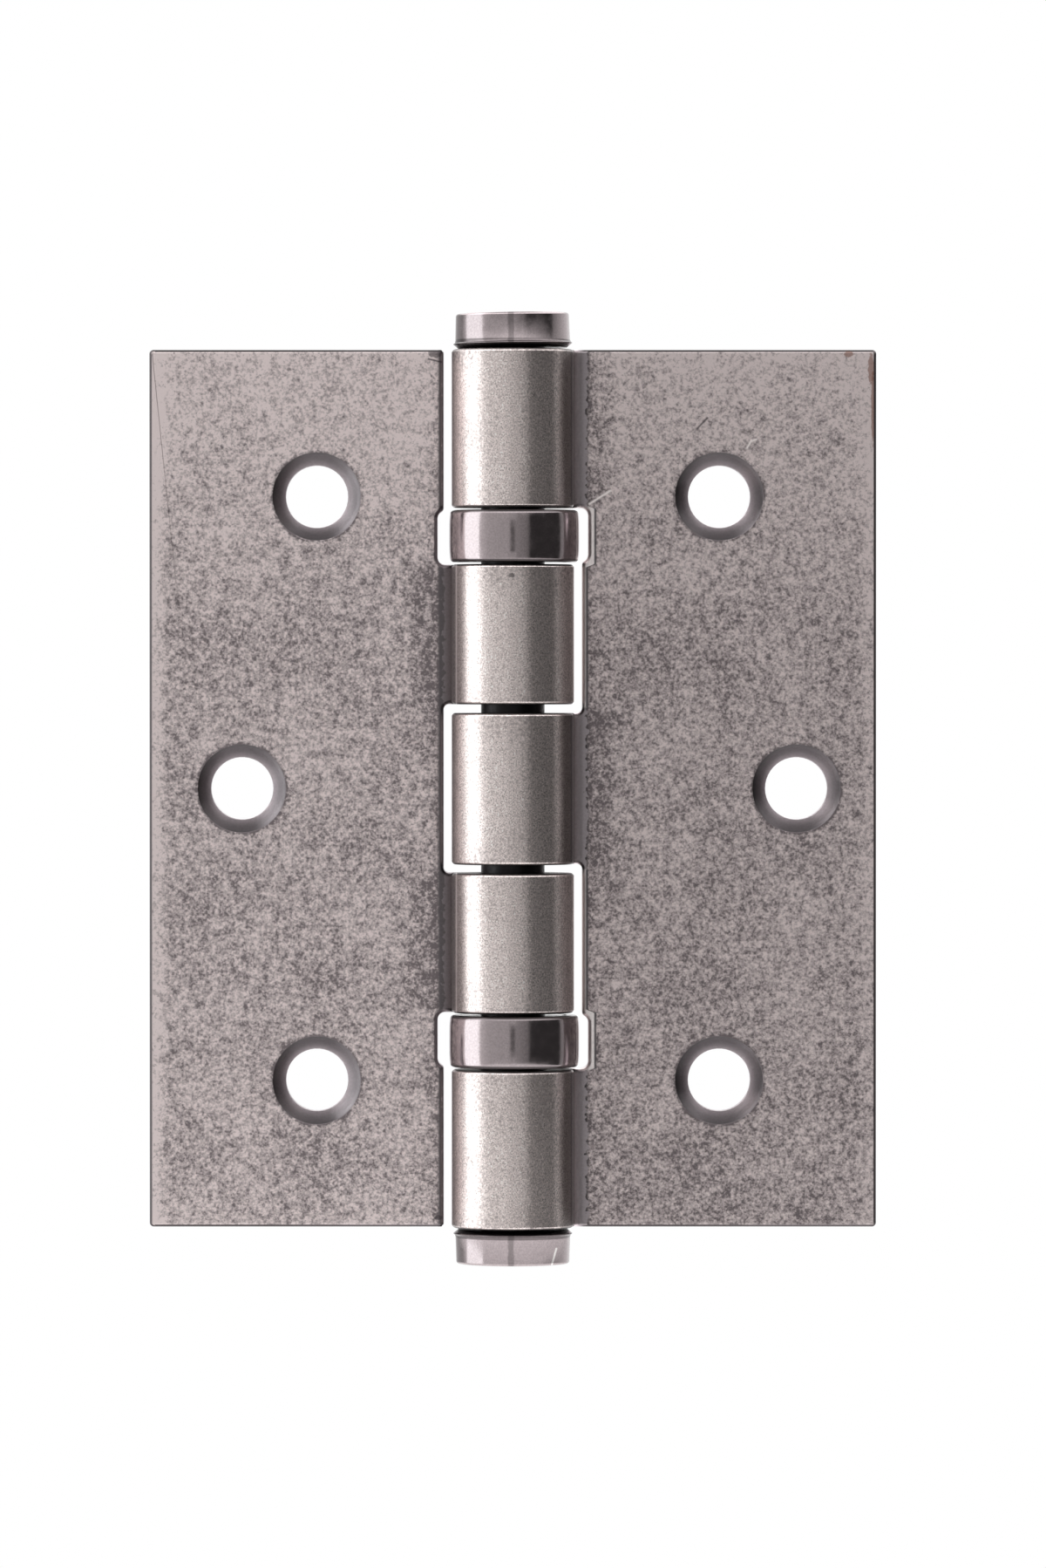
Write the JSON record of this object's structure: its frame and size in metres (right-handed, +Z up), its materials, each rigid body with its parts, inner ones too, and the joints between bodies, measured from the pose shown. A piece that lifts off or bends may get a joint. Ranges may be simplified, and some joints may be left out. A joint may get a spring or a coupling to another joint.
{
  "type": "ball bearing hinge",
  "caption": "Door butt hinge: rolled steel leaves with countersunk screw holes swing on a pin, with sealed ball thrust bearings between knuckles and flat button tips.",
  "frame": {"origin": "on the pin axis, halfway up the barrel, with the hinge open flat", "axes": "+Z up the pin; +X across the frame leaf, away from the barrel; -Y out of the front, where the holes are countersunk"},
  "size_m": [0.063, 0.0112, 0.0826],
  "materials": {
    "worn_plating": "tumbled antique pewter plating, mottled dark and light, barrel rubbed brighter",
    "polished_plating": "smooth dark nickel plating, lightly worn",
    "pin_steel": "plain drawn steel",
    "bearing_steel": "hardened and ground bearing steel",
    "cage_brass": "punched sheet brass"
  },
  "bodies": {
    "frame": {"frame_leaf": "worn_plating", "hinge_pin": "pin_steel", "top_tip": "polished_plating", "bottom_tip": "polished_plating", "upper_bearing_shell": "polished_plating", "lower_bearing_shell": "polished_plating", "upper_frame_race": "bearing_steel", "lower_frame_race": "bearing_steel"},
    "door": {"door_leaf": "worn_plating", "upper_door_race": "bearing_steel", "lower_door_race": "bearing_steel"},
    "upper_balls": {"upper_ball_cage": "cage_brass", "upper_ball_1": "bearing_steel", "upper_ball_2": "bearing_steel", "upper_ball_3": "bearing_steel", "upper_ball_4": "bearing_steel", "upper_ball_5": "bearing_steel", "upper_ball_6": "bearing_steel"},
    "lower_balls": {"lower_ball_cage": "cage_brass", "lower_ball_1": "bearing_steel", "lower_ball_2": "bearing_steel", "lower_ball_3": "bearing_steel", "lower_ball_4": "bearing_steel", "lower_ball_5": "bearing_steel", "lower_ball_6": "bearing_steel"}
  },
  "joints": [
    {"name": "leaf_swing", "type": "hinge", "parent": "frame", "child": "door", "pos_m": [0, 0, 0], "axis": [0, 0, 1], "range_deg": [-115, 180]},
    {"name": "upper_cage_turn", "type": "hinge", "parent": "frame", "child": "upper_balls", "pos_m": [0, 0, 0], "axis": [0, 0, 1], "range_deg": [-57.5, 90]},
    {"name": "lower_cage_turn", "type": "hinge", "parent": "frame", "child": "lower_balls", "pos_m": [0, 0, 0], "axis": [0, 0, 1], "range_deg": [-57.5, 90]}
  ],
  "couplings": [
    {"joint": "upper_cage_turn", "follows": "leaf_swing", "ratio": 0.5},
    {"joint": "lower_cage_turn", "follows": "leaf_swing", "ratio": 0.5}
  ]
}
